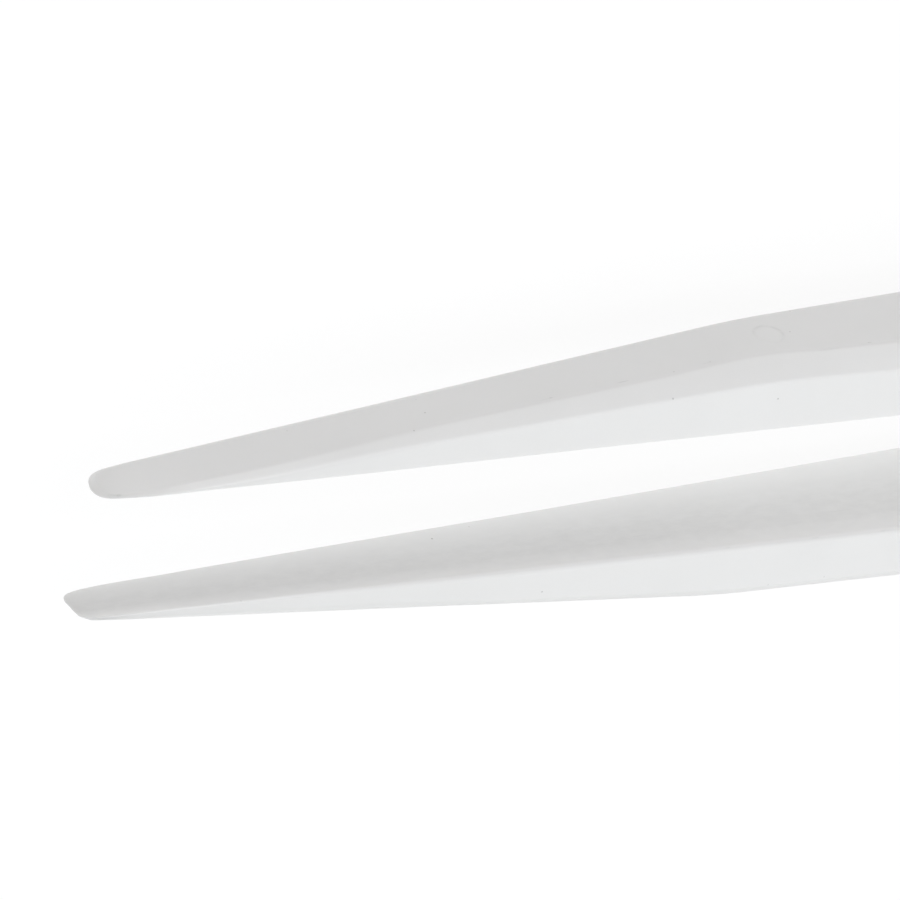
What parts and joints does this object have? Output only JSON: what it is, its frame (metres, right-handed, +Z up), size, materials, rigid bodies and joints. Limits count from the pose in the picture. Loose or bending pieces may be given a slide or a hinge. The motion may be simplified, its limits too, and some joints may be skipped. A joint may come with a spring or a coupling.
{
  "type": "ceramic tip tweezers",
  "caption": "Sprung steel tweezers with slim white ceramic tips screwed to the arms, for handling wafers and small parts without metal contact.",
  "frame": {"origin": "under the middle of the overall box, on the surface that the tweezers lie on", "axes": "+X from the tips to the welded tail, +Y the way the upper arm opens, +Z up, which is the width of the arms as the tweezers lie on their side"},
  "size_m": [0.128, 0.0112, 0.0083],
  "materials": {
    "white_ceramic": "fine matte, unglazed sintered zirconia",
    "arm_steel": "satin, lengthwise grain",
    "screw_steel": "turned"
  },
  "bodies": {
    "lower_side": {"lower_arm": "arm_steel", "lower_ceramic_tip": "white_ceramic", "lower_front_screw": "screw_steel", "lower_rear_screw": "screw_steel"},
    "upper_side": {"upper_arm": "arm_steel", "upper_ceramic_tip": "white_ceramic", "upper_front_screw": "screw_steel", "upper_rear_screw": "screw_steel"}
  },
  "joints": [
    {"name": "squeeze", "type": "hinge", "parent": "lower_side", "child": "upper_side", "pos_m": [0.04, 0.00109, 0.00415], "axis": [0, 0, 1], "range_deg": [0, 2.95], "stiffness_Nm_per_rad": 2}
  ]
}
